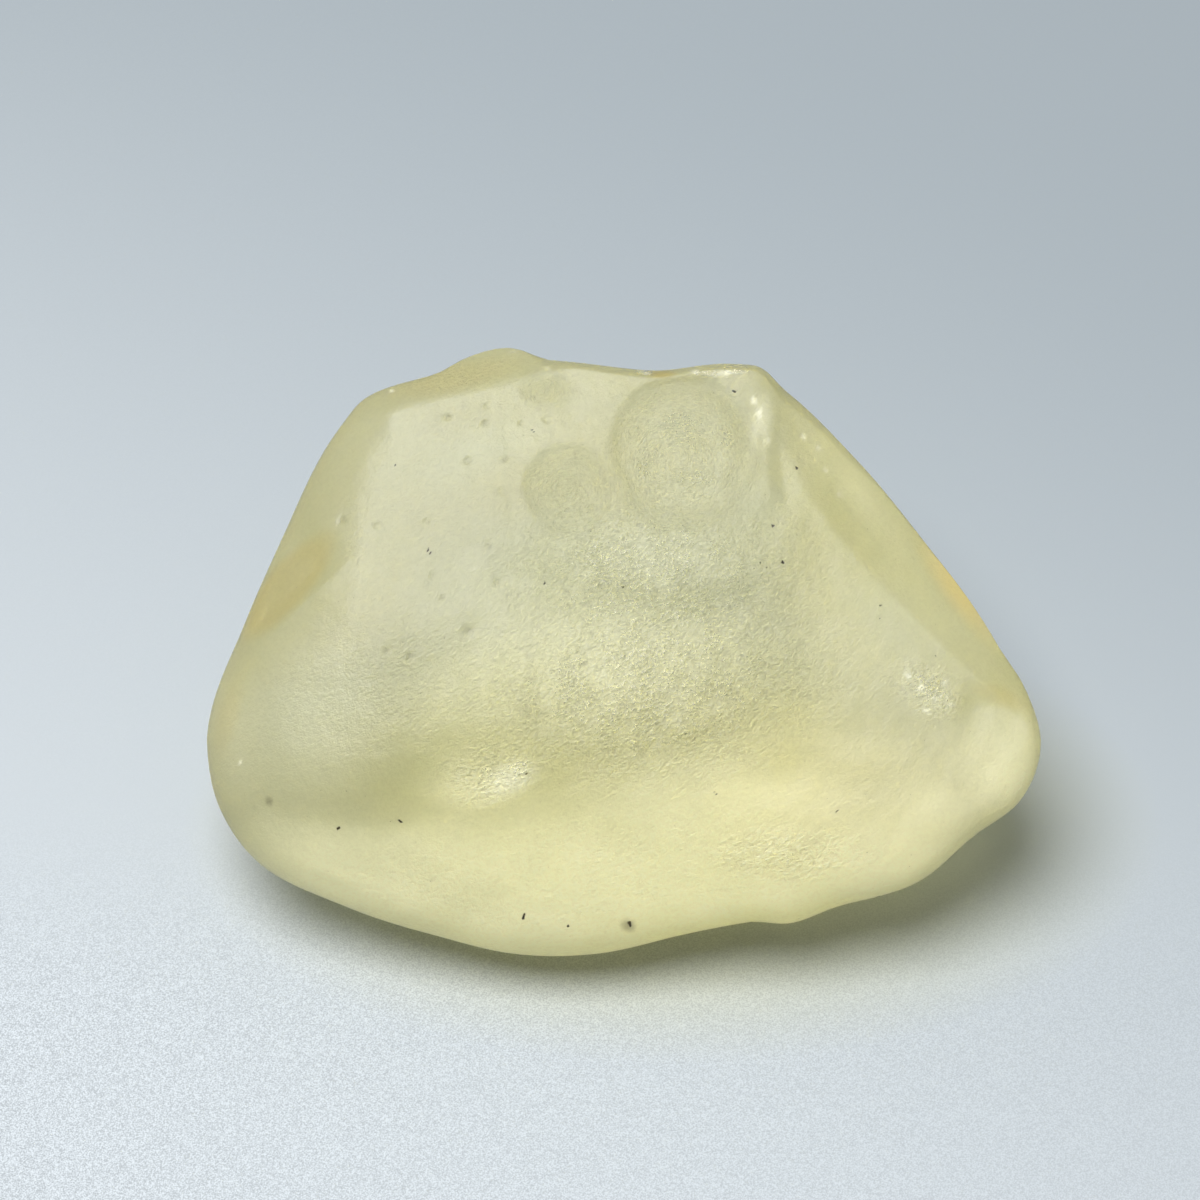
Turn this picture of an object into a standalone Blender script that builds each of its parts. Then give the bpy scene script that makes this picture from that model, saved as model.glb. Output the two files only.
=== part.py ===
"""A lump of pale yellow natural impact glass, one solid piece that rests on a small flat spot.

The stone is shaped in a frame of its own, the face frame, in millimetres: X to the right, Y up the broad
face and Z straight out of it. It is then leaned back by FACE_LEAN, cut flat underneath and set on Z = 0.
"""

import math

import bmesh
import bpy
from mathutils import Matrix, Vector, noise

MM = 0.001

# How the stone sits: the plane of its outline is this far from level, its front rim this high up.
FACE_LEAN = math.radians(40)
FRONT_RIM = Vector((-3.0, -16.1, 0.0))
FRONT_RIM_HEIGHT = 1.8

# The outline of the stone seen straight onto its broad face, turning anticlockwise from the right end.
# It is smoothed through these points.
OUTLINE = (
    (22.7, -4.9), (21.9, -1.8), (20.4, 0.6), (16.6, 5.9), (12.8, 10.5), (9.0, 14.2), (7.6, 15.5), (6.2, 15.7),
    (1.7, 15.35), (-3.7, 15.9), (-6.0, 16.6), (-8.2, 16.1), (-10.0, 15.15), (-13.7, 13.9), (-15.1, 12.3),
    (-18.1, 6.6), (-20.3, 1.6), (-22.1, -3.1), (-22.3, -4.9), (-21.6, -8.3), (-19.4, -11.3), (-15.0, -13.5),
    (-10.1, -15.1), (-5.9, -16.1), (-1.1, -16.1), (3.1, -15.15), (6.9, -14.4), (9.2, -14.45), (11.9, -13.5),
    (16.1, -12.2), (19.0, -9.8), (21.6, -7.8),
)

# How far the rim stands in front of the plane of the outline, by direction in degrees. The outline is as
# seen from VIEW_DISTANCE away, so a rim that stands forward is drawn in a little.
EDGE_LIFT = (
    (0, 1.9), (20, 0.6), (45, 0.0), (150, 0.0), (190, 0.5), (225, 0.9), (265, 1.2), (300, 1.9), (335, 2.6),
)
VIEW_DISTANCE = 180.0

# The rim of the front, by direction in degrees: how wide and how high its rounded lip is, how steeply it
# rises inwards from there, and how softly it meets the broad faces.
FRONT_EDGE = (
    (6, 1.6, 1.3, 1.2, 0.8), (18, 0.7, 0.6, 1.6, 0.2), (57, 0.7, 0.6, 1.6, 0.2), (64, 0.4, 0.8, 2.1, 0.2),
    (98, 0.4, 0.8, 2.1, 0.2), (106, 0.5, 0.4, 1.7, 0.3), (126, 0.5, 0.4, 1.7, 0.4),
    (140, 0.8, 0.6, 1.05, 2.0), (170, 0.9, 0.8, 0.95, 2.2), (192, 1.3, 1.1, 0.90, 1.8),
    (208, 2.0, 1.6, 0.75, 1.4), (240, 2.4, 1.9, 0.55, 1.4), (262, 2.4, 1.9, 0.50, 1.4),
    (300, 2.6, 2.0, 0.50, 1.6), (336, 2.6, 1.9, 0.60, 1.6), (352, 2.4, 1.9, 0.80, 1.4),
)

# The broad faces of the front: height in the middle, slope to the right and up the face, and how softly
# it meets those before it. In order: the pale upper left, the middle right, the nose below, the left end
# and the bevel along the top left.
FRONT_FACES = (
    (5.5, 0.03, -0.25, 1.0),
    (4.8, -0.09, -0.16, 1.0),
    (6.8, 0.0, 0.21, 1.4),
    (10.6, 0.37, -0.05, 0.9),
    (17.25, 0.204, -0.98, 0.25),
)

# The facet down the right is dished: these two planes meet in a shallow valley across it.
RIGHT_FACET_LOW = (13.3, -0.57, -0.68)
RIGHT_FACET_HIGH = (8.57, -0.363, -0.284)
FACET_VALLEY = 1.2
FACET_CREASE = 0.12

# Ledges: middle, half length, how far the drop spreads above and below its crease, turn, drop, how much
# the crease curls up at its ends, and how wide it is rounded.
FRONT_LEDGES = (
    (-14.4, -9.1, 6.0, 3.4, 6.5, -2, 0.62, 0.03, 0.35),
    (19.9, -2.75, 2.6, 1.5, 2.5, -3, 0.35, 0.0, 0.1),
    (8.6, 10.7, 3.6, 2.4, 0.7, -87, 0.14, 0.02, 0.15),
)

# Chips off the rim: middle of the inner edge, its half length and turn, and how steeply it falls outwards,
# down to CHIP_DEPTH at most.
FRONT_CHIPS = (
    (-16.9, 2.7, 4.2, 43, 0.50),
)
CHIP_DEPTH = 0.45

# Where the front is hollowed: middle across and up, half length, half width, turn in degrees, depth, the
# share of the way out that is flat floor, and whether the edge is crisp.
FRONT_HOLLOWS = (
    (3.34, 11.3, 4.0, 4.0, 0, 0.20, 0.80, False),
    (3.2, 10.4, 2.5, 2.5, 0, 0.13, 0.75, False),
    (-2.9, 9.05, 2.37, 2.3, 0, 0.15, 0.76, False),
    (-2.6, 8.7, 1.25, 1.2, 0, 0.09, 0.6, False),
    (-4.04, 14.3, 1.5, 0.9, 10, 0.12, 0.5, False),
    (7.65, 11.5, 0.38, 0.38, 0, 0.06, 0.4, False),
    (4.3, 2.2, 4.2, 2.2, 30, 0.22, 0.0, False),
    (-9.5, -1.0, 5.0, 3.0, 20, 0.22, 0.0, False),
    (9.5, -6.5, 4.5, 2.2, -10, 0.22, 0.0, False),
)

# The hidden back, as depths below the plane of the outline: an oval bulge cut by broad faces. In order
# they are the underside in front, its right and left ends, the heel, the back wall and its two corners.
BACK_DEPTH = 16.0
BACK_FULLNESS = 2.1
BACK_FACES = (
    (19.3, 0.03, 1.16, 2.2),
    (20.0, -0.58, 0.84, 2.2),
    (19.8, 0.48, 0.84, 2.2),
    (12.6, 0.04, 0.05, 2.2),
    (20.0, 0.0, -1.16, 2.2),
    (22.0, -0.92, -0.55, 2.2),
    (20.5, 0.72, -0.60, 2.2),
)
BACK_HOLLOWS = (
    (-6.0, 9.5, 5.0, 3.0, 20, 0.9, 0.0, False),
    (5.5, 6.5, 4.5, 3.2, -30, 0.8, 0.0, True),
    (13.5, 0.5, 4.5, 3.0, -55, 0.9, 0.0, False),
    (-15.5, 2.0, 4.0, 3.0, 50, 0.8, 0.0, True),
    (-13.0, -8.5, 4.0, 2.2, -20, 0.5, 0.0, False),
    (13.5, -8.0, 4.0, 2.0, 25, 0.5, 0.0, False),
)

# Gentle unevenness all over: the size of a swell, and its height at the front and at the back.
SWELL_SIZE = 6.5
FRONT_SWELL = 0.16
BACK_SWELL = 0.45

# The mesh is an even grid on each side of a cube, finer over the round pits near the top.
GRID_CUTS = 22
FINE_FROM = (-6.2, 5.8)
FINE_TO = (8.6, 15.7)

GLASS_COLOUR = (0.60, 0.56, 0.30, 1.0)


def eased(t):
    t = max(0.0, min(1.0, t))
    return t * t * (3 - 2 * t)


def smooth_least(a, b, width):
    """The lesser of a and b, with the crease between them rounded over width."""
    share = max(0.0, min(1.0, 0.5 + 0.5 * (b - a) / width))
    return b + (a - b) * share - width * share * (1 - share)


def least_face(faces, x, y, least):
    """The least of the faces' heights at x, y and the one given, with rounded creases."""
    for base, right, up, blend in faces:
        least = smooth_least(least, base + right * x + up * y, blend)
    return least


def closed_ring(stations):
    """Stations sorted by direction from 0 to 360 degrees, with the last and first repeated past the ends."""
    ring = sorted((direction % 360, *values) for direction, *values in stations)
    before = (ring[-1][0] - 360, *ring[-1][1:])
    after = (ring[0][0] + 360, *ring[0][1:])
    return [before, *ring, after]


EDGE_RING = closed_ring(FRONT_EDGE)
LIFT_RING = closed_ring(EDGE_LIFT)
REACH_RING = closed_ring((math.degrees(math.atan2(y, x)), math.hypot(x, y)) for x, y in OUTLINE)


def values_at(ring, angle):
    """What the stations of a ring hold in a direction, eased between them."""
    for low, high in zip(ring, ring[1:]):
        if low[0] <= angle <= high[0]:
            t = eased((angle - low[0]) / (high[0] - low[0]))
            return [a + (b - a) * t for a, b in zip(low[1:], high[1:])]
    raise ValueError(angle)


def reach_at(angle):
    """How far the outline lies from the middle in a direction, on a smooth curve through its points."""
    count = len(REACH_RING) - 2
    low = next(i for i in range(count + 1) if REACH_RING[i][0] <= angle <= REACH_RING[i + 1][0])
    (a1, r1), (a2, r2) = REACH_RING[low], REACH_RING[low + 1]
    a0, r0 = REACH_RING[low - 1] if low else (REACH_RING[count - 1][0] - 360, REACH_RING[count - 1][1])
    a3, r3 = REACH_RING[low + 2] if low < count else (REACH_RING[2][0] + 360, REACH_RING[2][1])
    t = (angle - a1) / (a2 - a1)
    rise_1 = (r2 - r0) / (a2 - a0) * (a2 - a1)
    rise_2 = (r3 - r1) / (a3 - a1) * (a2 - a1)
    return r1 + (r2 - r1) * t * t * (3 - 2 * t) + rise_1 * t * (1 - t) ** 2 - rise_2 * t * t * (1 - t)


def placed(x, y, across, up, turn):
    """How far x, y lies along and beside a line through a middle with a turn in degrees."""
    cos = math.cos(math.radians(turn))
    sin = math.sin(math.radians(turn))
    return (x - across) * cos + (y - up) * sin, (y - up) * cos - (x - across) * sin


def hollowed(hollows, x, y):
    """How deep the hollows are together at x, y."""
    total = 0.0
    for across, up, length, width, turn, depth, floor, crisp in hollows:
        along, beside = placed(x, y, across, up, turn)
        away = math.hypot(along / length, beside / width)
        if away < 1:
            total += depth * ((1 - away * away) ** 1.5 if crisp else eased((1 - away) / (1 - floor)))
    return total


def chipped(x, y):
    """How deep the ledges and chips are together at x, y."""
    total = 0.0
    for across, up, length, above, below, turn, drop, curl, rounding in FRONT_LEDGES:
        along, beside = placed(x, y, across, up, turn)
        beside -= curl * along * along
        spread = above if beside > 0 else below
        away = (math.hypot(beside, rounding) - rounding) / spread
        total += drop * eased(1.6 * (1 - abs(along) / length)) * max(0.0, 1 - away) ** 1.3
    for across, up, length, turn, slope in FRONT_CHIPS:
        along, beside = placed(x, y, across, up, turn)
        total += min(slope * max(0.0, beside), CHIP_DEPTH) * eased(1.6 * (1 - abs(along) / length))
    return total


def front_height(x, y, angle, inset):
    """Height of the front above the plane of the outline, inset being the distance in from it."""
    (lift,) = values_at(LIFT_RING, angle)
    width, height, slope, blend = values_at(EDGE_RING, angle)
    edge = lift + slope * inset + height * math.sqrt(1 - (1 - min(inset / width, 1)) ** 2)
    first, *others = FRONT_FACES
    broad = least_face(others, x, y, first[0] + first[1] * x + first[2] * y)
    low, high = (base + right * x + up * y for base, right, up in (RIGHT_FACET_LOW, RIGHT_FACET_HIGH))
    facet = -smooth_least(-low, -high, FACET_VALLEY)
    smooth = smooth_least(edge, smooth_least(broad, facet, FACET_CREASE), blend)
    swell = FRONT_SWELL * noise.noise(Vector((x, y, 3.0)) / SWELL_SIZE)
    return smooth + eased(inset / 1.2) * (swell - hollowed(FRONT_HOLLOWS, x, y) - chipped(x, y))


def back_depth(x, y, angle, share):
    """Depth of the back below the plane of the outline, share being 0 in the middle and 1 at the rim."""
    (lift,) = values_at(LIFT_RING, angle)
    bulge = BACK_DEPTH * (1 - share**BACK_FULLNESS) ** (1 / BACK_FULLNESS)
    smooth = least_face(BACK_FACES, x, y, bulge)
    swell = BACK_SWELL * noise.noise(Vector((x, y, 9.0)) / SWELL_SIZE)
    uneven = eased((1 - share) / 0.2) * (swell - hollowed(BACK_HOLLOWS, x, y))
    return smooth + uneven - lift * share**4


def shaped(cube_point):
    """The stone's surface in the face frame for a point on the cube, whose coordinates are turned into
    angles so that the grid stays even."""
    direction = Vector([math.tan(c * math.pi / 4) for c in cube_point]).normalized()
    angle = math.degrees(math.atan2(direction.y, direction.x)) % 360
    share = min(1.0, math.hypot(direction.x, direction.y))
    reach = reach_at(angle) * (1 - values_at(LIFT_RING, angle)[0] / VIEW_DISTANCE)
    x = reach * share * math.cos(math.radians(angle))
    y = reach * share * math.sin(math.radians(angle))
    if direction.z >= 0:
        return Vector((x, y, front_height(x, y, angle, reach * (1 - share))))
    return Vector((x, y, -back_depth(x, y, angle, share)))


def over_pits(edge):
    """Whether an edge of the cube's grid lies where the front is meshed finely."""
    middle = (edge.verts[0].co + edge.verts[1].co) / 2
    place = shaped(middle)
    across = FINE_FROM[0] < place.x < FINE_TO[0]
    return middle.z > 0 and across and FINE_FROM[1] < place.y < FINE_TO[1]


def shape_stone(bm):
    """The whole stone in the face frame, from a cube."""
    bmesh.ops.create_cube(bm, size=2.0)
    bmesh.ops.subdivide_edges(bm, edges=bm.edges[:], cuts=GRID_CUTS, use_grid_fill=True)
    fine = [edge for edge in bm.edges if over_pits(edge)]
    bmesh.ops.subdivide_edges(bm, edges=fine, cuts=1, use_grid_fill=True)
    places = [shaped(vert.co) for vert in bm.verts]
    for vert, place in zip(bm.verts, places):
        vert.co = place


def seat_stone(bm):
    """Leans the stone back, cuts the flat spot it rests on and sets its middle over the origin."""
    lean = Matrix.Rotation(FACE_LEAN, 4, "X")
    bmesh.ops.transform(bm, matrix=lean, verts=bm.verts)
    floor = (lean @ FRONT_RIM).z - FRONT_RIM_HEIGHT
    everything = bm.verts[:] + bm.edges[:] + bm.faces[:]
    bmesh.ops.bisect_plane(bm, geom=everything, plane_co=(0, 0, floor), plane_no=(0, 0, -1), clear_outer=True)
    rim = {vert for edge in bm.edges if edge.is_boundary for vert in edge.verts}
    bmesh.ops.remove_doubles(bm, verts=list(rim), dist=0.25)
    bmesh.ops.holes_fill(bm, edges=[edge for edge in bm.edges if edge.is_boundary])
    xs = [vert.co.x for vert in bm.verts]
    ys = [vert.co.y for vert in bm.verts]
    middle = Vector(((min(xs) + max(xs)) / 2, (min(ys) + max(ys)) / 2, floor))
    bmesh.ops.translate(bm, verts=bm.verts, vec=-middle)
    bmesh.ops.scale(bm, vec=(MM, MM, MM), verts=bm.verts)
    bmesh.ops.triangulate(bm, faces=bm.faces)
    bmesh.ops.recalc_face_normals(bm, faces=bm.faces)


def impact_glass():
    """Pale yellow frosted glass."""
    material = bpy.data.materials.new("impact_glass")
    material.use_nodes = True
    shader = material.node_tree.nodes["Principled BSDF"]
    shader.inputs["Base Color"].default_value = GLASS_COLOUR
    shader.inputs["Metallic"].default_value = 0.0
    shader.inputs["Roughness"].default_value = 0.45
    shader.inputs["IOR"].default_value = 1.46
    shader.inputs["Transmission Weight"].default_value = 1.0
    return material


def main():
    for old in list(bpy.data.objects):
        bpy.data.objects.remove(old, do_unlink=True)
    bm = bmesh.new()
    shape_stone(bm)
    seat_stone(bm)
    mesh = bpy.data.meshes.new("tektite")
    bm.to_mesh(mesh)
    bm.free()
    mesh.materials.append(impact_glass())
    stone = bpy.data.objects.new("tektite", mesh)
    parts = bpy.data.collections.new("tektite_parts")
    bpy.context.scene.collection.children.link(parts)
    parts.objects.link(stone)


main()
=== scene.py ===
"""A lump of pale yellow impact glass on a plain satin surface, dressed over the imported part."""

import math

import bmesh
import bpy
from mathutils import Matrix, Vector, noise


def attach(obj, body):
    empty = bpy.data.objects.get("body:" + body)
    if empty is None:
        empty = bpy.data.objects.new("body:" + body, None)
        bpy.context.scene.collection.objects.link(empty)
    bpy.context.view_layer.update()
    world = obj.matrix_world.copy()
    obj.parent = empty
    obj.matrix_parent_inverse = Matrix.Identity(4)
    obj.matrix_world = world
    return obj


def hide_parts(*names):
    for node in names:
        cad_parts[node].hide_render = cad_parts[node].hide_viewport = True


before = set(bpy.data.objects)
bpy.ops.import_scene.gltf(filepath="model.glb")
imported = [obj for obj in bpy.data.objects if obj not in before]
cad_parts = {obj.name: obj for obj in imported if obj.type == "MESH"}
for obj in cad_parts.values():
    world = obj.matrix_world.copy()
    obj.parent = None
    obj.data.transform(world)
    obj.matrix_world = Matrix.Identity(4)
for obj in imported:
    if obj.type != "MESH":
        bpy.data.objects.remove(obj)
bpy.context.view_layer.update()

MM = 0.001


def linear(hex_colour, alpha=1.0):
    """The linear colour of an sRGB hex value."""
    parts = [int(hex_colour[i : i + 2], 16) / 255 for i in (0, 2, 4)]
    return (*[p / 12.92 if p <= 0.04045 else ((p + 0.055) / 1.055) ** 2.4 for p in parts], alpha)


def add(material, kind, settings=None, links=None):
    """A node of that kind with its settings, its inputs linked or set by name."""
    tree = material.node_tree
    node = tree.nodes.new(kind)
    for name, value in (settings or {}).items():
        setattr(node, name, value)
    for name, value in (links or {}).items():
        socket = node.inputs[name]
        if isinstance(value, bpy.types.NodeSocket):
            tree.links.new(value, socket)
        else:
            socket.default_value = value
    return node


# How the stone sits, as in the part: in its face frame X is to the right, Y up the broad face and Z out
# of it, in millimetres. The plane of its outline is this far from level, its front rim this high up.
FACE_LEAN = math.radians(40)
FRONT_RIM = Vector((-3.0, -16.1, 0.0))
FRONT_RIM_HEIGHT = 1.8

# The outline of the stone seen straight onto its broad face, turning anticlockwise from the right end.
# It is smoothed through these points.
OUTLINE = (
    (22.7, -4.9), (21.9, -1.8), (20.4, 0.6), (16.6, 5.9), (12.8, 10.5), (9.0, 14.2), (7.6, 15.5), (6.2, 15.7),
    (1.7, 15.35), (-3.7, 15.9), (-6.0, 16.6), (-8.2, 16.1), (-10.0, 15.15), (-13.7, 13.9), (-15.1, 12.3),
    (-18.1, 6.6), (-20.3, 1.6), (-22.1, -3.1), (-22.3, -4.9), (-21.6, -8.3), (-19.4, -11.3), (-15.0, -13.5),
    (-10.1, -15.1), (-5.9, -16.1), (-1.1, -16.1), (3.1, -15.15), (6.9, -14.4), (9.2, -14.45), (11.9, -13.5),
    (16.1, -12.2), (19.0, -9.8), (21.6, -7.8),
)

# How far the rim stands in front of the plane of the outline, by direction in degrees. The outline is as
# seen from VIEW_DISTANCE away, so a rim that stands forward is drawn in a little.
EDGE_LIFT = (
    (0, 1.9), (20, 0.6), (45, 0.0), (150, 0.0), (190, 0.5), (225, 0.9), (265, 1.2), (300, 1.9), (335, 2.6),
)
VIEW_DISTANCE = 180.0

# The rim of the front, by direction in degrees: how wide and how high its rounded lip is, how steeply it
# rises inwards from there, and how softly it meets the broad faces.
FRONT_EDGE = (
    (6, 1.6, 1.3, 1.2, 0.8), (18, 0.7, 0.6, 1.6, 0.2), (57, 0.7, 0.6, 1.6, 0.2), (64, 0.4, 0.8, 2.1, 0.2),
    (98, 0.4, 0.8, 2.1, 0.2), (106, 0.5, 0.4, 1.7, 0.3), (126, 0.5, 0.4, 1.7, 0.4),
    (140, 0.8, 0.6, 1.05, 2.0), (170, 0.9, 0.8, 0.95, 2.2), (192, 1.3, 1.1, 0.90, 1.8),
    (208, 2.0, 1.6, 0.75, 1.4), (240, 2.4, 1.9, 0.55, 1.4), (262, 2.4, 1.9, 0.50, 1.4),
    (300, 2.6, 2.0, 0.50, 1.6), (336, 2.6, 1.9, 0.60, 1.6), (352, 2.4, 1.9, 0.80, 1.4),
)

# The broad faces of the front: height in the middle, slope to the right and up the face, and how softly
# it meets those before it. In order: the pale upper left, the middle right, the nose below, the left end
# and the bevel along the top left.
FRONT_FACES = (
    (5.5, 0.03, -0.25, 1.0),
    (4.8, -0.09, -0.16, 1.0),
    (6.8, 0.0, 0.21, 1.4),
    (10.6, 0.37, -0.05, 0.9),
    (17.25, 0.204, -0.98, 0.25),
)

# The facet down the right is dished: these two planes meet in a shallow valley across it.
RIGHT_FACET_LOW = (13.3, -0.57, -0.68)
RIGHT_FACET_HIGH = (8.57, -0.363, -0.284)
FACET_VALLEY = 1.2
FACET_CREASE = 0.12

# Ledges: middle, half length, how far the drop spreads above and below its crease, turn, drop, how much
# the crease curls up at its ends, and how wide it is rounded.
FRONT_LEDGES = (
    (-14.4, -9.1, 6.0, 3.4, 6.5, -2, 0.62, 0.03, 0.35),
    (19.9, -2.75, 2.6, 1.5, 2.5, -3, 0.35, 0.0, 0.1),
    (8.6, 10.7, 3.6, 2.4, 0.7, -87, 0.14, 0.02, 0.15),
)

# Chips off the rim: middle of the inner edge, its half length and turn, and how steeply it falls outwards,
# down to CHIP_DEPTH at most.
FRONT_CHIPS = (
    (-16.9, 2.7, 4.2, 43, 0.50),
)
CHIP_DEPTH = 0.45

# The curve of a drop from its crease down, and how soon a ledge or a chip fades in from its ends.
DROP_CURVE = 1.3
FADE_IN = 1.6

# Where the front is hollowed: middle across and up, half length, half width, turn in degrees, depth, the
# share of the way out that is flat floor, and whether the edge is crisp.
FRONT_HOLLOWS = (
    (3.34, 11.3, 4.0, 4.0, 0, 0.20, 0.80, False),
    (3.2, 10.4, 2.5, 2.5, 0, 0.13, 0.75, False),
    (-2.9, 9.05, 2.37, 2.3, 0, 0.15, 0.76, False),
    (-2.6, 8.7, 1.25, 1.2, 0, 0.09, 0.6, False),
    (-4.04, 14.3, 1.5, 0.9, 10, 0.12, 0.5, False),
    (7.65, 11.5, 0.38, 0.38, 0, 0.06, 0.4, False),
    (4.3, 2.2, 4.2, 2.2, 30, 0.22, 0.0, False),
    (-9.5, -1.0, 5.0, 3.0, 20, 0.22, 0.0, False),
    (9.5, -6.5, 4.5, 2.2, -10, 0.22, 0.0, False),
)

# The hidden back, as depths below the plane of the outline: an oval bulge cut by broad faces. In order
# they are the underside in front, its right and left ends, the heel, the back wall and its two corners.
BACK_DEPTH = 16.0
BACK_FULLNESS = 2.1
BACK_FACES = (
    (19.3, 0.03, 1.16, 2.2),
    (20.0, -0.58, 0.84, 2.2),
    (19.8, 0.48, 0.84, 2.2),
    (12.6, 0.04, 0.05, 2.2),
    (20.0, 0.0, -1.16, 2.2),
    (22.0, -0.92, -0.55, 2.2),
    (20.5, 0.72, -0.60, 2.2),
)
BACK_HOLLOWS = (
    (-6.0, 9.5, 5.0, 3.0, 20, 0.9, 0.0, False),
    (5.5, 6.5, 4.5, 3.2, -30, 0.8, 0.0, True),
    (13.5, 0.5, 4.5, 3.0, -55, 0.9, 0.0, False),
    (-15.5, 2.0, 4.0, 3.0, 50, 0.8, 0.0, True),
    (-13.0, -8.5, 4.0, 2.2, -20, 0.5, 0.0, False),
    (13.5, -8.0, 4.0, 2.0, 25, 0.5, 0.0, False),
)

# Small round pits: middle and radius. They and the ripples below are too fine for the solid.
PITS = (
    (-8.1, 10.4, 0.33), (-9.2, 12.7, 0.26), (-7.2, 12.4, 0.26), (-7.1, 13.3, 0.22), (-3.9, 12.6, 0.3),
    (-5.3, 12.4, 0.2), (-6.1, 10.5, 0.22), (-6.3, 8.7, 0.24), (-14.8, 7.2, 0.36), (-12.9, 6.9, 0.24),
    (-10.3, 7.1, 0.22), (-9.9, 4.3, 0.22), (-9.4, 3.1, 0.2), (-11.1, 0.0, 0.3), (-12.3, 0.3, 0.22),
    (-1.9, -0.4, 0.34), (-8.0, 1.3, 0.45), (-7.0, 5.8, 0.2), (-6.5, 3.9, 0.3),
)
PIT_DEPTH = 0.07

# Gentle unevenness all over: the size and height of each layer of swells and ripples, and its pattern.
FRONT_SWELLS = ((6.5, 0.16, 3.0), (1.6, 0.05, 5.0), (0.55, 0.022, 2.0))
BACK_SWELLS = ((6.5, 0.45, 9.0), (1.6, 0.06, 7.0))

# The unevenness fades out at the rim: over this distance on the front, this share of the way on the back.
FRONT_RIM_FADE = 1.2
BACK_RIM_FADE = 0.2

# The mesh is an even grid on each side of a cube, finer over the front.
GRID_CUTS = 42
FRONT_GRID_CUTS = 3
FRONT_GRID_FROM = 0.05
FLAT_RIM_MERGE = 0.1


def eased(t):
    """From 0 to 1 with a soft start and end, and flat beyond."""
    t = max(0.0, min(1.0, t))
    return t * t * (3 - 2 * t)


def smooth_least(a, b, width):
    """The lesser of a and b, with the crease between them rounded over width."""
    share = max(0.0, min(1.0, 0.5 + 0.5 * (b - a) / width))
    return b + (a - b) * share - width * share * (1 - share)


def least_face(faces, x, y, least):
    """The least of the faces' heights at x, y and the one given, with rounded creases."""
    for base, right, up, blend in faces:
        least = smooth_least(least, base + right * x + up * y, blend)
    return least


def closed_ring(stations):
    """Stations sorted by direction from 0 to 360 degrees, with the last and first repeated past the ends."""
    ring = sorted((direction % 360, *values) for direction, *values in stations)
    before = (ring[-1][0] - 360, *ring[-1][1:])
    after = (ring[0][0] + 360, *ring[0][1:])
    return [before, *ring, after]


EDGE_RING = closed_ring(FRONT_EDGE)
LIFT_RING = closed_ring(EDGE_LIFT)
REACH_RING = closed_ring((math.degrees(math.atan2(y, x)), math.hypot(x, y)) for x, y in OUTLINE)


def values_at(ring, angle):
    """What the stations of a ring hold in a direction, eased between them."""
    for low, high in zip(ring, ring[1:]):
        if low[0] <= angle <= high[0]:
            t = eased((angle - low[0]) / (high[0] - low[0]))
            return [a + (b - a) * t for a, b in zip(low[1:], high[1:])]
    raise ValueError(angle)


def reach_at(angle):
    """How far the outline lies from the middle in a direction, on a smooth curve through its points."""
    count = len(REACH_RING) - 2
    low = next(i for i in range(count + 1) if REACH_RING[i][0] <= angle <= REACH_RING[i + 1][0])
    (a1, r1), (a2, r2) = REACH_RING[low], REACH_RING[low + 1]
    a0, r0 = REACH_RING[low - 1] if low else (REACH_RING[count - 1][0] - 360, REACH_RING[count - 1][1])
    a3, r3 = REACH_RING[low + 2] if low < count else (REACH_RING[2][0] + 360, REACH_RING[2][1])
    t = (angle - a1) / (a2 - a1)
    rise_1 = (r2 - r0) / (a2 - a0) * (a2 - a1)
    rise_2 = (r3 - r1) / (a3 - a1) * (a2 - a1)
    return r1 + (r2 - r1) * t * t * (3 - 2 * t) + rise_1 * t * (1 - t) ** 2 - rise_2 * t * t * (1 - t)


def placed(x, y, across, up, turn):
    """How far x, y lies along and beside a line through a middle with a turn in degrees."""
    cos = math.cos(math.radians(turn))
    sin = math.sin(math.radians(turn))
    return (x - across) * cos + (y - up) * sin, (y - up) * cos - (x - across) * sin


def hollowed(hollows, x, y):
    """How deep the hollows are together at x, y."""
    total = 0.0
    for across, up, length, width, turn, depth, floor, crisp in hollows:
        along, beside = placed(x, y, across, up, turn)
        away = math.hypot(along / length, beside / width)
        if away < 1:
            total += depth * ((1 - away * away) ** 1.5 if crisp else eased((1 - away) / (1 - floor)))
    return total


def swollen(swells, x, y):
    """How high the swells and ripples are together at x, y."""
    return sum(height * noise.noise(Vector((x, y, pattern)) / size) for size, height, pattern in swells)


def pitted(x, y):
    """How deep the small pits are at x, y."""
    total = 0.0
    for across, up, radius in PITS:
        away = math.hypot(x - across, y - up) / radius
        if away < 1:
            total += PIT_DEPTH * eased(1.5 * (1 - away))
    return total


def chipped(x, y):
    """How deep the ledges and chips are together at x, y."""
    total = 0.0
    for across, up, length, above, below, turn, drop, curl, rounding in FRONT_LEDGES:
        along, beside = placed(x, y, across, up, turn)
        beside -= curl * along * along
        spread = above if beside > 0 else below
        away = (math.hypot(beside, rounding) - rounding) / spread
        total += drop * eased(FADE_IN * (1 - abs(along) / length)) * max(0.0, 1 - away) ** DROP_CURVE
    for across, up, length, turn, slope in FRONT_CHIPS:
        along, beside = placed(x, y, across, up, turn)
        total += min(slope * max(0.0, beside), CHIP_DEPTH) * eased(FADE_IN * (1 - abs(along) / length))
    return total


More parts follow.
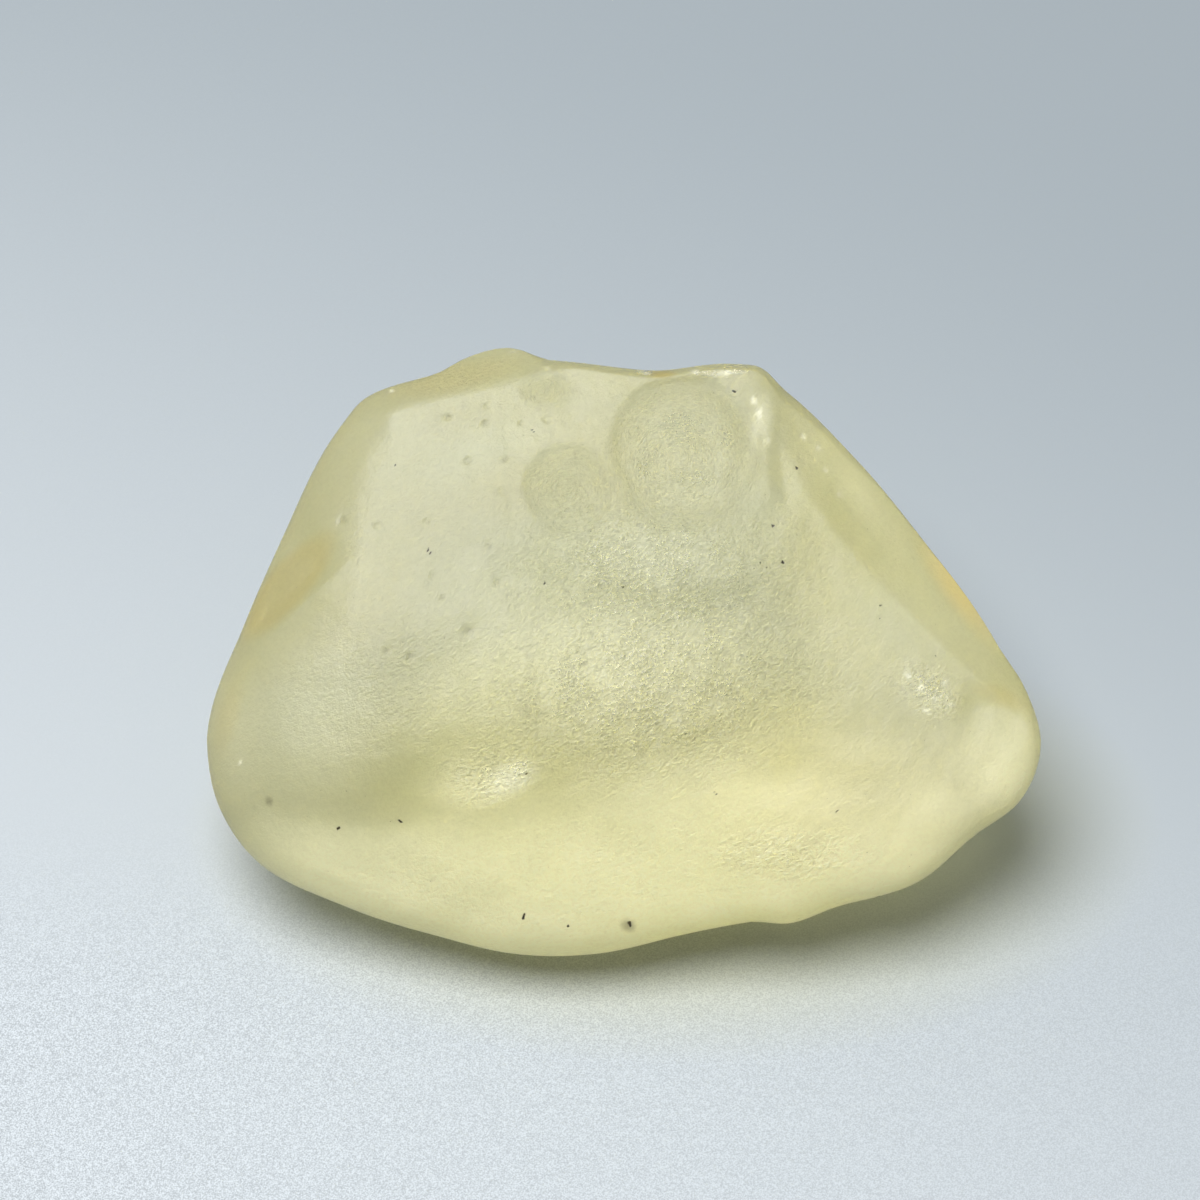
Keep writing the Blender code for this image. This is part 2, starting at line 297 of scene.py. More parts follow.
def front_height(x, y, angle, inset):
    """Height of the front above the plane of the outline, inset being the distance in from it."""
    (lift,) = values_at(LIFT_RING, angle)
    width, height, slope, blend = values_at(EDGE_RING, angle)
    edge = lift + slope * inset + height * math.sqrt(1 - (1 - min(inset / width, 1)) ** 2)
    first, *others = FRONT_FACES
    broad = least_face(others, x, y, first[0] + first[1] * x + first[2] * y)
    low, high = (base + right * x + up * y for base, right, up in (RIGHT_FACET_LOW, RIGHT_FACET_HIGH))
    facet = -smooth_least(-low, -high, FACET_VALLEY)
    smooth = smooth_least(edge, smooth_least(broad, facet, FACET_CREASE), blend)
    lowered = hollowed(FRONT_HOLLOWS, x, y) + chipped(x, y) + pitted(x, y)
    return smooth + eased(inset / FRONT_RIM_FADE) * (swollen(FRONT_SWELLS, x, y) - lowered)


def back_depth(x, y, share):
    """Depth of the back below the rim, share being 0 in the middle and 1 at the rim."""
    bulge = BACK_DEPTH * (1 - share**BACK_FULLNESS) ** (1 / BACK_FULLNESS)
    smooth = least_face(BACK_FACES, x, y, bulge)
    swell = swollen(BACK_SWELLS, x, y) - hollowed(BACK_HOLLOWS, x, y)
    return max(0.0, smooth + eased((1 - share) / BACK_RIM_FADE) * swell)


def shaped(cube_point):
    """The stone's surface in the face frame for a point on the cube, whose coordinates are turned into
    angles so that the grid stays even."""
    direction = Vector([math.tan(c * math.pi / 4) for c in cube_point]).normalized()
    angle = math.degrees(math.atan2(direction.y, direction.x)) % 360
    share = min(1.0, math.hypot(direction.x, direction.y))
    reach = reach_at(angle) * (1 - values_at(LIFT_RING, angle)[0] / VIEW_DISTANCE)
    rim_x = reach * math.cos(math.radians(angle))
    rim_y = reach * math.sin(math.radians(angle))
    x = rim_x * share
    y = rim_y * share
    if direction.z >= 0:
        return Vector((x, y, front_height(x, y, angle, reach * (1 - share))))
    rim_height = front_height(rim_x, rim_y, angle, 0.0)
    return Vector((x, y, rim_height * share**4 - back_depth(x, y, share)))


# Where the skin differs, as ovals on the face: middle, half length, half width, turn, the outer share over
# which it fades, and how strong it is.
MARKS = {
    # painted glow: where light wells up through the glass the skin is painted brighter and made less clear,
    # so that it looks milky
    "painted_glow": (
        (-2.0, -13.5, 24, 8.5, 3, 0.7, 1.0), (5.0, -9.0, 17, 6.0, 8, 0.8, 0.85),
        (20.5, -6.5, 6.0, 5.5, 0, 1.0, 0.9), (-7.4, -7.0, 4.6, 2.5, 8, 1.0, 0.85),
        (13.5, -11.0, 11, 6.5, 25, 0.8, 1.0), (-13.5, -12.3, 9.5, 4.6, -14, 0.8, 1.0),
        (0.5, -1.5, 10.0, 5.5, 0, 1.0, 0.35), (-20.5, -4.0, 2.5, 5.0, 0, 1.0, 0.3),
        (18.2, 3.6, 4.6, 1.2, -55, 0.8, 0.6), (12.6, 9.3, 8.0, 1.8, -52, 1.0, 0.4),
    ),
    # frosted whiter, partly real frosting and partly a painted sheen, as on the left end
    "pale": (
        (-16.0, -2.6, 5.0, 7.0, 0, 1.0, 0.9), (3.3, 10.6, 4.0, 4.0, 0, 0.5, 0.9),
        (0.0, 0.5, 14.0, 7.0, 0, 1.0, 1.0), (1.8, 5.2, 8.5, 4.0, 0, 1.0, 1.2),
        (-2.8, 8.9, 2.4, 2.4, 0, 0.5, 0.5), (7.6, 12.4, 0.8, 2.2, -8, 0.7, 0.9),
        (14.5, 0.0, 9.0, 9.0, 0, 1.0, 0.9),
    ),
    # deeper yellow: a painted glow along the thin right rim, and the chip on the left, the top left bevel and
    # a stain at the top
    "amber_and_glow": (
        (18.1, 3.6, 4.8, 1.3, -55, 0.9, 0.85), (-17.8, 3.7, 4.4, 1.5, 48, 0.45, 0.5),
        (-9.0, 14.9, 5.0, 1.2, 12, 0.7, 0.25), (2.2, 15.1, 1.1, 0.4, 0, 0.8, 0.8),
        (12.0, -6.5, 12.0, 8.0, 0, 1.0, 0.17), (20.3, -2.2, 2.4, 0.8, -20, 0.8, 0.25),
        (-20.9, -3.2, 3.0, 0.9, 75, 0.8, 0.2),
    ),
    # how deeply the wind has etched it
    "etched": (
        (1.5, -1.8, 13.0, 6.5, 8, 0.9, 1.0), (3.3, 10.8, 4.8, 4.6, 0, 0.6, 0.6),
        (-2.8, 8.9, 2.9, 2.8, 0, 0.6, 0.45), (-13.0, -2.0, 9.0, 5.5, 10, 0.9, 0.2),
        (2.0, 4.0, 10.5, 6.0, 0, 0.9, 0.95), (-2.0, -12.0, 20.0, 5.0, 4, 0.6, 0.12),
        (16.3, -1.8, 3.0, 1.9, -30, 1.0, 0.8), (-6.5, -6.0, 4.5, 2.6, 15, 1.0, 0.7),
        (-9.0, 15.0, 5.0, 1.2, 12, 0.7, 0.25), (8.5, -10.5, 6.0, 2.2, 0, 1.0, 0.6),
        (-4.0, 14.2, 2.2, 1.2, 0, 0.8, 0.25),
    ),
    # fresher, glossier glass that glints
    "glossy": (
        (16.5, -1.8, 2.2, 1.2, -30, 1.0, 0.6), (-5.4, -5.8, 1.6, 0.9, 0, 1.0, 0.6),
        (1.3, 15.2, 0.6, 0.3, 0, 0.6, 1.0), (4.6, 15.1, 0.9, 0.3, 0, 0.6, 1.0),
        (6.2, 15.3, 1.0, 0.35, 0, 0.6, 1.0), (7.3, 13.4, 0.5, 0.9, 0, 0.8, 0.5),
    ),
    # painted glints: small whitish spots in the colour that stand in for glints of light, and two broader
    # painted highlights
    "painted_glints": (
        (9.8, 11.7, 0.2, 0.26, 0, 0.8, 0.4), (10.6, 11.1, 0.2, 0.2, 0, 0.8, 0.35),
        (11.0, 9.9, 0.2, 0.22, 0, 0.8, 0.4), (11.7, 8.6, 0.2, 0.2, 0, 0.8, 0.35),
        (-12.3, 14.2, 0.2, 0.15, 0, 0.8, 0.6), (-5.8, 16.4, 0.3, 0.15, 0, 0.8, 0.5),
        (-3.9, 15.4, 0.18, 0.15, 0, 0.8, 0.5), (-8.1, 1.1, 0.12, 0.1, 0, 0.7, 0.6),
        (-7.6, 0.4, 0.14, 0.12, 0, 0.7, 0.6), (-7.7, 4.6, 0.12, 0.12, 0, 0.7, 0.6),
        (-5.2, -0.4, 0.12, 0.12, 0, 0.7, 0.4), (-20.2, -5.7, 0.14, 0.12, 0, 0.7, 0.6),
        (1.4, 15.1, 0.35, 0.16, 0, 0.8, 0.5), (4.0, 15.2, 0.35, 0.2, 0, 0.8, 0.5),
        (5.6, 15.1, 0.7, 0.25, 10, 0.9, 0.5), (7.15, 13.6, 0.25, 0.35, 20, 0.8, 0.5),
        (7.4, 12.9, 0.22, 0.4, 0, 0.8, 0.45), (-5.7, -6.4, 2.2, 1.2, 25, 1.0, 0.4),
        (15.2, -1.0, 0.3, 0.2, 0, 0.8, 0.5), (15.9, -1.7, 0.4, 0.2, 30, 0.8, 0.6),
        (16.6, -2.3, 0.3, 0.25, 0, 0.8, 0.5), (17.2, -1.4, 0.24, 0.3, 0, 0.8, 0.5),
        (16.2, -2.9, 0.4, 0.2, -20, 0.8, 0.5), (17.5, -2.6, 0.3, 0.2, 0, 0.8, 0.5),
        (16.4, -1.9, 2.4, 1.5, -30, 1.0, 0.14),
    ),
    # dark grains and fibres caught in the skin
    "dirt": (
        (-10.1, 5.5, 0.36, 0.10, 115, 0.5, 1.0), (-5.1, -13.8, 0.32, 0.12, 80, 0.5, 1.0),
        (0.5, -14.2, 0.16, 0.3, 20, 0.6, 1.0), (13.7, -12.9, 0.3, 0.13, 25, 0.5, 1.0),
        (-2.75, -14.3, 0.13, 0.13, 0, 0.5, 1.0), (-4.9, -6.1, 0.16, 0.1, 0, 0.5, 1.0),
        (-5.3, -6.2, 0.1, 0.1, 0, 0.5, 0.8), (-14.9, -9.05, 0.14, 0.14, 0, 0.5, 1.0),
        (-11.6, -8.7, 0.15, 0.15, 0, 0.5, 1.0), (5.0, -7.2, 0.12, 0.22, 30, 0.5, 0.8),
        (11.4, -8.2, 0.13, 0.13, 0, 0.5, 0.9), (7.4, 4.9, 0.13, 0.13, 0, 0.6, 0.8),
        (7.8, 4.7, 0.12, 0.12, 0, 0.6, 0.8), (7.1, 4.6, 0.1, 0.1, 0, 0.6, 0.7),
        (8.6, 4.95, 0.14, 0.14, 0, 0.5, 1.0), (3.4, -4.1, 0.2, 0.1, 0, 0.6, 0.8),
        (3.9, -4.2, 0.14, 0.1, 0, 0.6, 0.8), (6.1, 14.1, 0.17, 0.12, -40, 0.5, 1.0),
        (9.4, 10.0, 0.12, 0.15, 0, 0.5, 0.9), (8.1, 6.9, 0.17, 0.15, 0, 0.6, 0.8),
        (-4.7, 12.0, 0.22, 0.09, -40, 0.5, 0.9), (-12.0, 10.1, 0.12, 0.12, 0, 0.5, 0.9),
        (-4.0, 3.9, 0.12, 0.12, 0, 0.5, 1.0), (-3.7, -1.75, 0.11, 0.11, 0, 0.5, 1.0),
        (0.15, 3.65, 0.13, 0.13, 0, 0.5, 1.0), (2.3, 5.7, 0.45, 0.08, -58, 0.5, 0.5),
        (-4.7, -4.5, 0.5, 0.09, 68, 0.6, 0.45), (13.8, 2.65, 0.12, 0.12, 0, 0.5, 0.8),
        (16.7, 0.05, 0.15, 0.12, 0, 0.5, 0.7),
    ),
    # soft grey-brown smudges, most of them in the small pits, and a faint painted shade over the upper left
    "smudged_and_shaded": (
        (-1.9, -0.4, 0.32, 0.26, 20, 0.7, 0.4), (-8.0, 1.3, 0.5, 0.3, 20, 0.7, 0.22),
        (-11.1, 0.0, 0.28, 0.28, 0, 0.7, 0.3), (-14.8, 7.2, 0.33, 0.3, 0, 0.7, 0.22),
        (-9.9, 4.3, 0.24, 0.22, 0, 0.7, 0.22), (-9.4, 3.1, 0.22, 0.22, 0, 0.7, 0.3),
        (-12.3, 0.3, 0.22, 0.22, 0, 0.7, 0.22), (-7.0, 5.8, 0.28, 0.18, 0, 0.7, 0.35),
        (-6.5, 3.9, 0.26, 0.22, 0, 0.7, 0.3), (-9.2, 12.7, 0.24, 0.22, 0, 0.7, 0.22),
        (-7.2, 12.4, 0.24, 0.24, 0, 0.7, 0.22), (-8.1, 10.4, 0.3, 0.26, 0, 0.7, 0.3),
        (-5.3, 12.4, 0.18, 0.18, 0, 0.7, 0.22), (-6.1, 10.5, 0.22, 0.2, 0, 0.7, 0.3),
        (-4.8, -3.0, 1.2, 1.0, 0, 0.9, 0.12), (-3.2, 10.5, 0.3, 0.2, 0, 0.8, 0.12),
        (-18.6, -7.7, 0.3, 0.3, 0, 0.7, 0.5), (-9.0, 8.0, 8.0, 6.5, 0, 1.0, 0.12),
        (0.4, -14.3, 0.5, 0.6, 60, 0.8, 0.55),
    ),
}

# The colours of the skin, and of its painted glow, glints and shade.
PLAIN = Vector(linear("F4F4DA"))
GLOW_TONE = Vector(linear("FFFCD8"))
AMBER_AND_GLOW = Vector(linear("F2DC9A"))
GLINT_TONE = Vector(linear("FBF9E2"))
SMUDGE_AND_SHADE = Vector(linear("3A3018"))
DIRT = linear("140D05")

# How clear the skin is, plain and under the painted glow, and how much a pale spot, partly painted sheen, or
# a painted glint clouds it.
PLAIN_CLEAR = 0.84
GLOW_CLEAR = 0.62
PALE_CLOUDING = 0.12
GLINT_CLOUDING = 0.5

# Frosted silica glass is satin, and it is nearly polished where it is fresh.
SATIN_ROUGHNESS = 0.45
GLOSSY_ROUGHNESS = 0.15

# How deeply all of it is etched, and how much more the etched places are.
PLAIN_ETCHING = 0.15
MORE_ETCHING = 0.95

# How uneven the etching and the painted glow are, and how large their patches.
ETCH_PATCHINESS = 0.65
ETCH_PATCH_SIZE = 1.1
GLOW_PATCHINESS = 0.25
GLOW_PATCH_SIZE = 2.6

# The etching runs in short wrinkles, about 0.2 mm apart, up to the right over the face and in rings inside
# the round pits.
WRINKLE_TURN = math.radians(30)
WRINKLE_STRETCH = 1.35
WRINKLES_PER_MM = 5.0
WRINKLE_DEPTH = 0.26
WRINKLE_DETAIL = 2.0
WRINKLE_CRISPNESS = 0.8

# Where on the wrinkles, from 0 in the deepest groove to 1 on the highest ridge, the shade, the polish and
# the grains that are caught in the deepest spots start and are full. The last two say the same for how
# strong a mark of dirt is.
GROOVE_AT = 0.36
RIDGE_AT = 0.62
GROOVE_SHADE = 0.84
RIDGE_SHADE = 1.28
POLISH_FROM = 0.50
POLISH_FULL = 0.62
POLISHED_ROUGHNESS = 0.22
GRAIN_FROM = 0.24
GRAIN_FULL = 0.22
GRAIN_STRENGTH = 0.8
CRUMB_FROM = 0.4
CRUMB_FULL = 0.75

# The glass under the skin: nearly pure silica, with a yellow tint that deepens with thickness.
SILICA_IOR = 1.46
TINT = linear("F0E87A")
TINT_PER_METRE = 41.0

# The round pits that the wrinkles ring: middle and radius.
RINGED = ((3.25, 10.7, 4.2), (-2.8, 8.9, 2.5), (-4.04, 14.3, 1.4))
RING_TIGHTNESS = 1.5


def marked(ovals, x, y):
    """How strong a mark of the skin is at x, y."""
    most = 0.0
    for across, up, length, width, turn, fade, strength in ovals:
        if abs(x - across) > length + width or abs(y - up) > length + width:
            continue
        along, beside = placed(x, y, across, up, turn)
        away = math.hypot(along / length, beside / width)
        most = max(most, strength * eased((1 - away) / fade))
    return most


def blended(low, high, share):
    """The value or colour that far from low to high."""
    return low + (high - low) * share


def skin_at(x, y, z):
    """What the skin is like at a point: its colour, how clear, rough, etched and dirty it is."""
    strength = {}
    for name, ovals in MARKS.items():
        # Only the painted glow goes right through the stone.
        strength[name] = marked(ovals, x, y) if z > 0 or name == "painted_glow" else 0.0
    patch = noise.noise(Vector((x, y, z)) / GLOW_PATCH_SIZE)
    painted_glow = strength["painted_glow"] * (1 + GLOW_PATCHINESS * patch)
    # The tone carries painted glow, painted glints and a faint painted shade besides the skin's own yellow,
    # stains and smudges.
    tone = blended(PLAIN, GLOW_TONE, painted_glow)
    tone = blended(tone, AMBER_AND_GLOW, strength["amber_and_glow"])
    tone = blended(tone, GLINT_TONE, strength["painted_glints"])
    tone = blended(tone, SMUDGE_AND_SHADE, strength["smudged_and_shaded"])
    clouding = PALE_CLOUDING * strength["pale"] + GLINT_CLOUDING * strength["painted_glints"]
    patch = noise.noise(Vector((x, y, z)) / ETCH_PATCH_SIZE)
    return {
        "tone": tone,
        "clear": blended(PLAIN_CLEAR, GLOW_CLEAR, painted_glow) - clouding,
        "rough": blended(SATIN_ROUGHNESS, GLOSSY_ROUGHNESS, strength["glossy"]),
        "etched": PLAIN_ETCHING + MORE_ETCHING * strength["etched"] * (1 + ETCH_PATCHINESS * patch),
        "dirt": strength["dirt"],
        "ring_rise": ring_rise(x, y) if z > 0 else 0.0,
    }


def ring_rise(x, y):
    """How far a point inside a round pit is moved through the pattern, so that the wrinkles ring the pit."""
    inside = [radius - math.hypot(x - across, y - up) for across, up, radius in RINGED]
    return RING_TIGHTNESS * max(0.0, *inside)


lean = Matrix.Rotation(FACE_LEAN, 4, "X")
floor_level = (lean @ FRONT_RIM).z - FRONT_RIM_HEIGHT


def build_stone(bm):
    """The stone at its real size and place, with its skin's layers; returns the point that is then at the
    origin, in millimetres."""
    bmesh.ops.create_cube(bm, size=2.0)
    bmesh.ops.subdivide_edges(bm, edges=bm.edges[:], cuts=GRID_CUTS, use_grid_fill=True)
    front = [edge for edge in bm.edges if min(vert.co.z for vert in edge.verts) > FRONT_GRID_FROM]
    bmesh.ops.subdivide_edges(bm, edges=front, cuts=FRONT_GRID_CUTS, use_grid_fill=True)
    places = [shaped(vert.co) for vert in bm.verts]
    for vert, place in zip(bm.verts, places):
        vert.co = place
    names = ("clear", "rough", "etched", "dirt", "ring_rise")
    layers = {name: bm.verts.layers.float.new(name) for name in names}
    layers["tone"] = bm.verts.layers.float_color.new("tone")
    for vert in bm.verts:
        for name, value in skin_at(*vert.co).items():
            vert[layers[name]] = value
    bmesh.ops.transform(bm, matrix=lean, verts=bm.verts)
    everything = bm.verts[:] + bm.edges[:] + bm.faces[:]
    bmesh.ops.bisect_plane(
        bm, geom=everything, plane_co=(0, 0, floor_level), plane_no=(0, 0, -1), clear_outer=True
    )
    rim = {vert for edge in bm.edges if edge.is_boundary for vert in edge.verts}
    bmesh.ops.remove_doubles(bm, verts=list(rim), dist=FLAT_RIM_MERGE)
    bmesh.ops.holes_fill(bm, edges=[edge for edge in bm.edges if edge.is_boundary])
    xs = [vert.co.x for vert in bm.verts]
    ys = [vert.co.y for vert in bm.verts]
    middle = Vector(((min(xs) + max(xs)) / 2, (min(ys) + max(ys)) / 2, floor_level))
    bmesh.ops.translate(bm, verts=bm.verts, vec=-middle)
    bmesh.ops.scale(bm, vec=(MM, MM, MM), verts=bm.verts)
    bmesh.ops.recalc_face_normals(bm, faces=bm.faces)
    return middle


bm = bmesh.new()
middle = build_stone(bm)
mesh = bpy.data.meshes.new("glass_stone")
bm.to_mesh(mesh)
bm.free()
mesh.shade_smooth()
stone = bpy.data.objects.new("glass_stone", mesh)
bpy.context.scene.collection.objects.link(stone)

# Natural silica glass, frosted by wind-blown sand: clear inside with a pale yellow tint that deepens with
# thickness, under a fine satin skin that scatters part of the light.
glass = bpy.data.materials.new("frosted_impact_glass")
glass.use_nodes = True
glass.node_tree.nodes.clear()
place = add(glass, "ShaderNodeTexCoord").outputs["Object"]


def skin_layer(name, output="Fac"):
    """What skin_at gave the mesh's points under a name."""
    return add(glass, "ShaderNodeAttribute", {"attribute_name": name}).outputs[output]


# The face frame again, in millimetres, turned and stretched along the wrinkles. Rings inside the pits
# come from moving each point out of the face by its ring_rise.
turned = lean @ Matrix.Rotation(WRINKLE_TURN, 4, "Z")
straight = add(
    glass, "ShaderNodeMapping", {"vector_type": "TEXTURE"},
    {
        "Vector": place, "Location": -middle * MM, "Rotation": turned.to_euler(),
        "Scale": (WRINKLE_STRETCH * MM, MM, MM),
    },
).outputs[0]
rings = add(glass, "ShaderNodeCombineXYZ", {}, {"Z": skin_layer("ring_rise")}).outputs[0]
way = add(glass, "ShaderNodeVectorMath", {}, {0: straight, 1: rings}).outputs[0]
wrinkle = add(
    glass, "ShaderNodeTexNoise", {},
    {"Vector": way, "Scale": WRINKLES_PER_MM, "Detail": WRINKLE_DETAIL, "Roughness": WRINKLE_CRISPNESS},
).outputs[0]
etched = skin_layer("etched")
# The wind has polished the tops of the ridges, so they glint.
top = add(
    glass, "ShaderNodeMapRange", {}, {"Value": wrinkle, "From Min": POLISH_FROM, "From Max": POLISH_FULL}
).outputs[0]
polished = add(glass, "ShaderNodeMath", {"operation": "MULTIPLY"}, {0: top, 1: etched}).outputs[0]
roughness = add(
    glass, "ShaderNodeMix", {}, {0: polished, 2: skin_layer("rough"), 3: POLISHED_ROUGHNESS}
).outputs[0]
height = add(glass, "ShaderNodeMath", {"operation": "MULTIPLY"}, {0: wrinkle, 1: etched}).outputs[0]
bump = add(glass, "ShaderNodeBump", {}, {"Height": height, "Strength": 1.0, "Distance": WRINKLE_DEPTH * MM})
# Painted light and shade: the colour is painted paler on the ridges between the wrinkles and darker in their
# grooves, and the deepest spots hold dark grains.
ridge = add(
    glass, "ShaderNodeMapRange", {},
    {
        "Value": wrinkle, "From Min": GROOVE_AT, "From Max": RIDGE_AT,
        "To Min": GROOVE_SHADE, "To Max": RIDGE_SHADE,
    },
).outputs[0]
shade = add(glass, "ShaderNodeMix", {}, {0: etched, 2: 1.0, 3: ridge}).outputs[0]
relief_shaded = add(
    glass, "ShaderNodeVectorMath", {"operation": "SCALE"}, {0: skin_layer("tone", "Color"), "Scale": shade}
).outputs[0]
grain = add(
    glass, "ShaderNodeMapRange", {},
    {
        "Value": wrinkle, "From Min": GRAIN_FULL, "From Max": GRAIN_FROM,
        "To Min": GRAIN_STRENGTH, "To Max": 0.0,
    },
).outputs[0]
crumb = add(
    glass, "ShaderNodeMapRange", {},
    {"Value": skin_layer("dirt"), "From Min": CRUMB_FROM, "From Max": CRUMB_FULL},
).outputs[0]
dirt = add(glass, "ShaderNodeMath", {"operation": "MAXIMUM"}, {0: crumb, 1: grain}).outputs[0]
dirty = add(
    glass, "ShaderNodeMix", {"data_type": "RGBA"}, {0: dirt, 6: relief_shaded, 7: DIRT}
).outputs[2]
skin = add(
    glass, "ShaderNodeBsdfPrincipled", {},
    {
        "Base Color": dirty, "Roughness": roughness, "IOR": SILICA_IOR,
        "Transmission Weight": skin_layer("clear"), "Normal": bump.outputs[0],
    },
)
tint = add(glass, "ShaderNodeVolumeAbsorption", {}, {"Color": TINT, "Density": TINT_PER_METRE})
add(glass, "ShaderNodeOutputMaterial", {}, {"Surface": skin.outputs[0], "Volume": tint.outputs[0]})
mesh.materials.append(glass)

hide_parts("tektite")
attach(stone, "root")

# The surface the stone stands on, just under it so that the two don't share a plane.
FLOOR_HALF_WIDTH = 1.5
FLOOR_DROP = 0.05

# Painted light falloff: the board is painted paler at its near left and greyer towards its far right, where
# the light fades, over FLOOR_REACH from PAINTED_LIGHT_AT, in metres.
PAINTED_LIGHT_AT = (0.0, -0.035, 0.0)
FLOOR_TURN = math.radians(62)
FLOOR_REACH = 0.095
BOARD_LIT = linear("AAB0B4")
BOARD_DIMMED = linear("90989D")

# Light that has come through the glass yellows the board close round the stone, in an oval that fades out
# at its edge.
CAST_MIDDLE = (0.003, -0.002, 0.0)
CAST_REACH = (0.024, 0.014, 1.0)
CAST_FULL = 0.75
CAST_END = 1.15
CAST_COLOUR = linear("FFFAE2")

# Its satin grain, under 0.1 mm across, shows towards the front left: how many grains to a metre, how dark
# and pale they are, between which lines the grain fades, in metres, and how much is left beyond them.
GRAINS_PER_METRE = 13000.0
GRAIN_CONTRAST = (0.25, 0.75)
GRAIN_DARK = 0.74
GRAIN_PALE = 1.26
GRAIN_FRONT = -0.016
GRAIN_BACK = 0.0
BACK_GRAIN = 0.06
GRAIN_LEFT = -0.03
GRAIN_RIGHT = 0.03
RIGHT_GRAIN = 0.4
BOARD_ROUGHNESS = 0.6

bm = bmesh.new()
bmesh.ops.create_grid(bm, x_segments=1, y_segments=1, size=FLOOR_HALF_WIDTH)
bmesh.ops.translate(bm, verts=bm.verts, vec=(0, 0, -FLOOR_DROP * MM))
floor_mesh = bpy.data.meshes.new("floor")
bm.to_mesh(floor_mesh)
bm.free()
floor = bpy.data.objects.new("floor", floor_mesh)
bpy.context.scene.collection.objects.link(floor)

# Painted board with a satin finish: matt enough for soft reflections only, with a fine grain.
satin = bpy.data.materials.new("satin_board")
satin.use_nodes = True
satin.node_tree.nodes.clear()
spot = add(satin, "ShaderNodeTexCoord").outputs["Object"]
farther = add(
    satin, "ShaderNodeMapping", {"vector_type": "TEXTURE"},
    {"Vector": spot, "Location": PAINTED_LIGHT_AT, "Rotation": (0, 0, FLOOR_TURN), "Scale": (FLOOR_REACH, 1, 1)},
).outputs[0]
# The painted falloff of the light across the board.
apart = add(satin, "ShaderNodeSeparateXYZ", {}, {0: farther})
light_falloff = add(
    satin, "ShaderNodeMapRange", {"interpolation_type": "SMOOTHSTEP"}, {"Value": apart.outputs[0]}
).outputs[0]
falloff_board = add(
    satin, "ShaderNodeMix", {"data_type": "RGBA"}, {"Factor": light_falloff, 6: BOARD_LIT, 7: BOARD_DIMMED}
).outputs[2]
near = add(
    satin, "ShaderNodeMapping", {"vector_type": "TEXTURE"},
    {"Vector": spot, "Location": CAST_MIDDLE, "Scale": CAST_REACH},
).outputs[0]
away = add(satin, "ShaderNodeVectorMath", {"operation": "LENGTH"}, {0: near}).outputs["Value"]
cast = add(
    satin, "ShaderNodeMapRange", {},
    {"Value": away, "From Min": CAST_FULL, "From Max": CAST_END, "To Min": 1.0, "To Max": 0.0},
).outputs[0]
warmed = add(
    satin, "ShaderNodeMix", {"data_type": "RGBA", "blend_type": "MULTIPLY"},
    {0: cast, 6: falloff_board, 7: CAST_COLOUR},
).outputs[2]
fleck = add(
    satin, "ShaderNodeTexNoise", {}, {"Vector": spot, "Scale": GRAINS_PER_METRE, "Detail": 0.0}
).outputs[0]
seen = add(satin, "ShaderNodeSeparateXYZ", {}, {0: spot})
forwards = add(
    satin, "ShaderNodeMapRange", {"interpolation_type": "SMOOTHSTEP"},
    {
        "Value": seen.outputs[1], "From Min": GRAIN_FRONT, "From Max": GRAIN_BACK,
        "To Min": 1.0, "To Max": BACK_GRAIN,
    },
).outputs[0]
leftwards = add(
    satin, "ShaderNodeMapRange", {},
    {
        "Value": seen.outputs[0], "From Min": GRAIN_LEFT, "From Max": GRAIN_RIGHT,
        "To Min": 1.0, "To Max": RIGHT_GRAIN,
    },
).outputs[0]
grain_share = add(satin, "ShaderNodeMath", {"operation": "MULTIPLY"}, {0: forwards, 1: leftwards}).outputs[0]
grained = add(
    satin, "ShaderNodeMapRange", {},
    {
        "Value": fleck, "From Min": GRAIN_CONTRAST[0], "From Max": GRAIN_CONTRAST[1],
        "To Min": GRAIN_DARK, "To Max": GRAIN_PALE,
    },
).outputs[0]
board_shade = add(satin, "ShaderNodeMix", {}, {0: grain_share, 2: 1.0, 3: grained}).outputs[0]
flecked = add(
    satin, "ShaderNodeVectorMath", {"operation": "SCALE"}, {0: warmed, "Scale": board_shade}
).outputs[0]
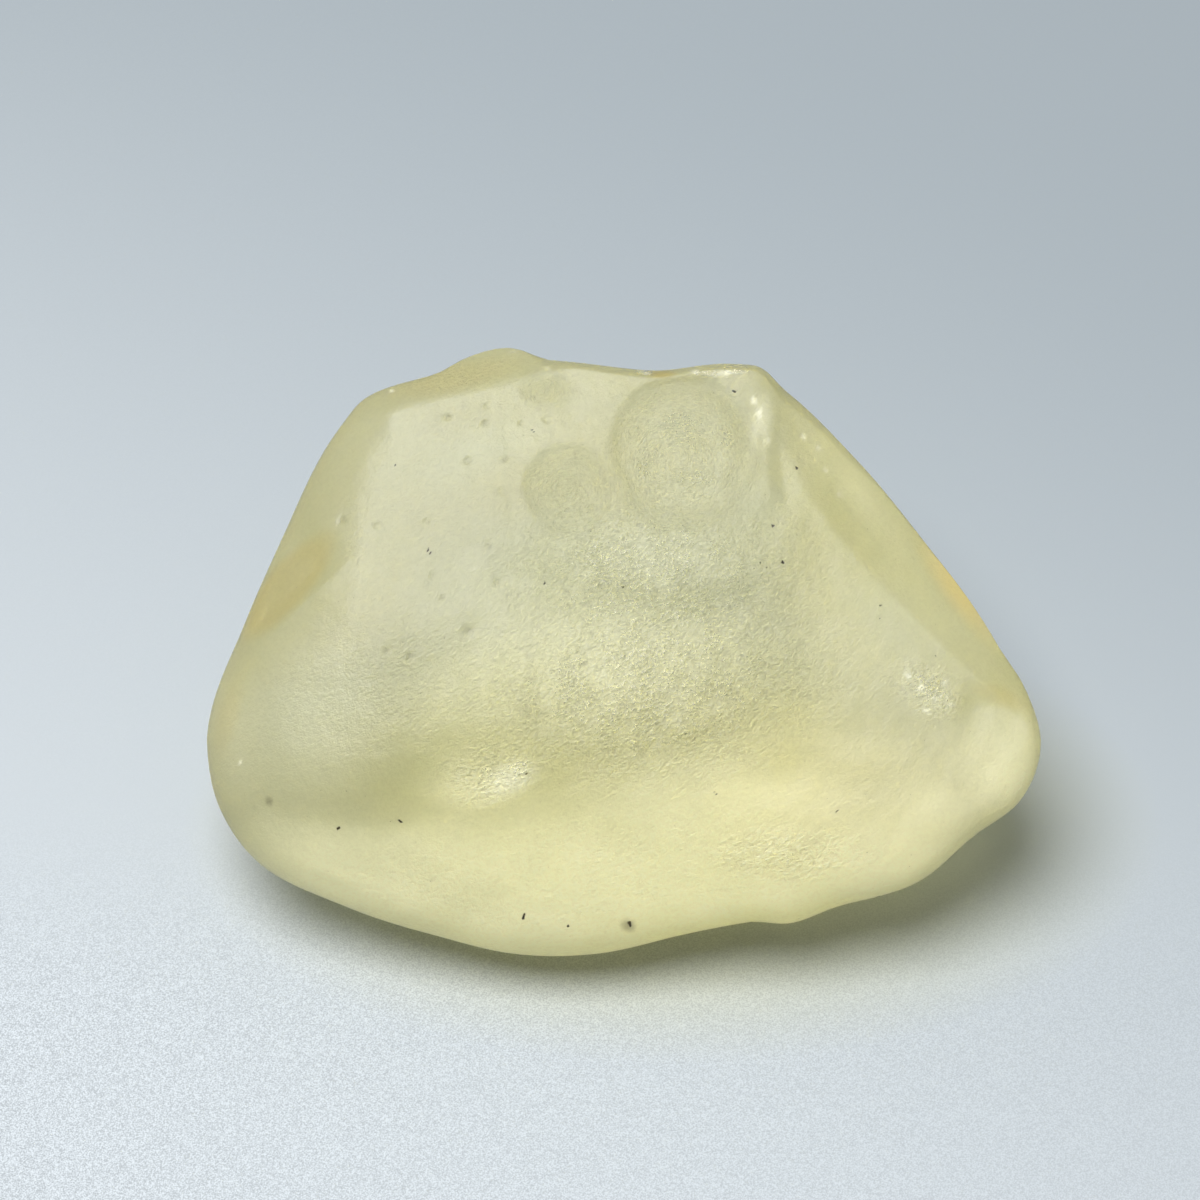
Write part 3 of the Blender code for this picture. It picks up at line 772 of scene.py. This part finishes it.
board = add(
    satin, "ShaderNodeBsdfPrincipled", {}, {"Base Color": flecked, "Roughness": BOARD_ROUGHNESS}
)
add(satin, "ShaderNodeOutputMaterial", {}, {"Surface": board.outputs[0]})
floor_mesh.materials.append(satin)

# The camera looks at the middle of the photograph, which is CAMERA_AIM across and up from the middle of
# the face frame, from CAMERA_DISTANCE mm away and this high over the floor.
CAMERA_RISE = math.radians(50)
CAMERA_DISTANCE = 180
CAMERA_AIM = (-1.08, 2.96)
LENS_MM = 100
SENSOR_MM = 36

forward = Vector((0, math.cos(CAMERA_RISE), -math.sin(CAMERA_RISE)))
right = Vector((1, 0, 0))
up = right.cross(forward)
target = -middle + right * CAMERA_AIM[0] + up * CAMERA_AIM[1]
lens = bpy.data.cameras.new("camera")
lens.lens = LENS_MM
lens.sensor_width = SENSOR_MM
lens.clip_start = 0.01
camera = bpy.data.objects.new("camera", lens)
bpy.context.scene.collection.objects.link(camera)
standing = Matrix.Translation((target - forward * CAMERA_DISTANCE) * MM)
facing = Matrix((right, up, -forward)).transposed().to_4x4()
camera.matrix_world = standing @ facing
bpy.context.scene.camera = camera

# One large soft light over the front left, in metres and watts, and an even pale grey room.
LIGHT_PLACE = Vector((-0.085, -0.05, 0.39))
LIGHT_WIDTH = 0.26
LIGHT_POWER = 2.35
ROOM_COLOUR = linear("D8DEE4")
ROOM_STRENGTH = 0.45

softbox = bpy.data.lights.new("overhead", "AREA")
softbox.shape = "DISK"
softbox.size = LIGHT_WIDTH
softbox.energy = LIGHT_POWER
overhead = bpy.data.objects.new("overhead", softbox)
bpy.context.scene.collection.objects.link(overhead)
overhead.location = LIGHT_PLACE
overhead.rotation_euler = (-LIGHT_PLACE).to_track_quat("-Z", "Y").to_euler()

world = bpy.data.worlds.new("studio")
world.use_nodes = True
world.node_tree.nodes["Background"].inputs["Color"].default_value = ROOM_COLOUR
world.node_tree.nodes["Background"].inputs["Strength"].default_value = ROOM_STRENGTH
bpy.context.scene.world = world
bpy.context.scene.view_settings.view_transform = "Standard"
